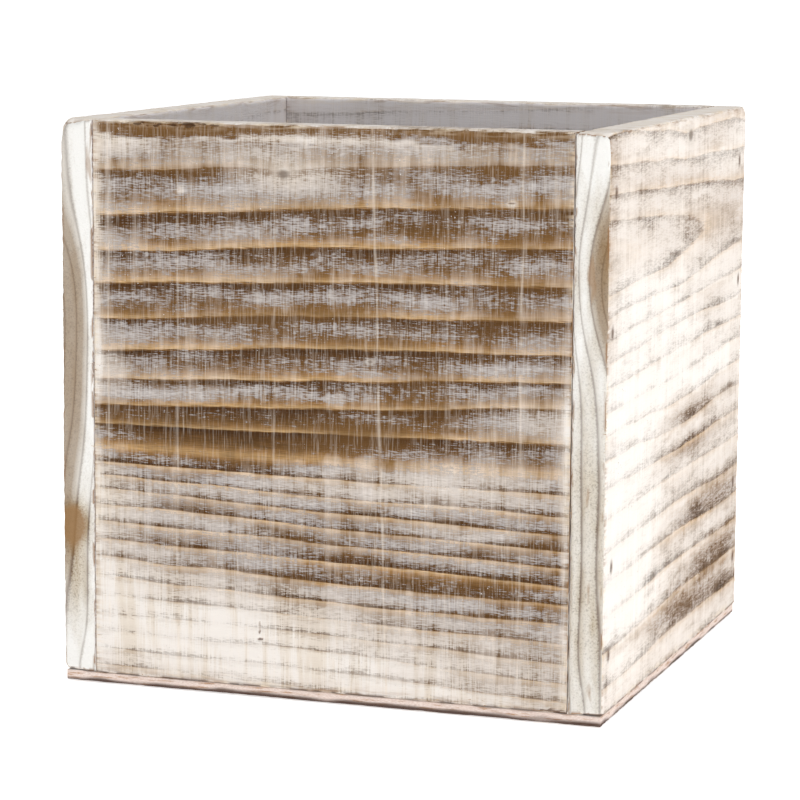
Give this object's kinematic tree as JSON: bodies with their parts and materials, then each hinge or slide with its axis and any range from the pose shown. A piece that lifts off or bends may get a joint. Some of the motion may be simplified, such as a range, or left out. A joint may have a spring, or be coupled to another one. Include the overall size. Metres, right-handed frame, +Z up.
{
  "type": "planter box",
  "caption": "Small square wooden planter box of butted, brad-nailed boards on a thin stapled bottom panel, in worn whitewash, with a lift-out liner.",
  "frame": {"origin": "centre of the underside, where the box stands", "axes": "+Z up; the front face, with its boards' grain level, faces -Y; the right side board faces +X"},
  "size_m": [0.152, 0.152, 0.153],
  "materials": {
    "front_wood": "brown-stained softwood, sawn across the grain, with broken grey-lilac whitewash, paler toward the foot",
    "back_wood": "brown-stained softwood, sawn across the grain, with worn whitewash",
    "side_wood": "softwood under nearly whole whitewash, grain and saw marks showing through, bare tan at the worn edges",
    "panel_ply": "thin plywood, dark brown, whitewash brushed over its edges, bare underneath",
    "brad_steel": "dull steel, browned with rust at the head",
    "staple_steel": "galvanized wire, lightly tarnished",
    "liner_plastic": "thin formed black plastic, satin"
  },
  "bodies": {
    "box": {"front_board": "front_wood", "back_board": "back_wood", "left_side_board": "side_wood", "right_side_board": "side_wood", "bottom_panel": "panel_ply", "brad_right_front_1": "brad_steel", "brad_right_front_2": "brad_steel", "brad_right_front_3": "brad_steel", "brad_right_front_4": "brad_steel", "brad_right_back_1": "brad_steel", "brad_right_back_2": "brad_steel", "brad_right_back_3": "brad_steel", "brad_right_back_4": "brad_steel", "brad_left_front_1": "brad_steel", "brad_left_front_2": "brad_steel", "brad_left_front_3": "brad_steel", "brad_left_front_4": "brad_steel", "brad_left_back_1": "brad_steel", "brad_left_back_2": "brad_steel", "brad_left_back_3": "brad_steel", "brad_left_back_4": "brad_steel", "staple_front_1": "staple_steel", "staple_front_2": "staple_steel", "staple_front_3": "staple_steel", "staple_right_1": "staple_steel", "staple_right_2": "staple_steel", "staple_right_3": "staple_steel", "staple_back_1": "staple_steel", "staple_back_2": "staple_steel", "staple_back_3": "staple_steel", "staple_left_1": "staple_steel", "staple_left_2": "staple_steel", "staple_left_3": "staple_steel"},
    "liner": {"liner": "liner_plastic"}
  },
  "joints": [
    {"name": "liner_lift", "type": "slide", "parent": "box", "child": "liner", "axis": [0, 0, 1], "range_m": [0, 0.16]}
  ]
}
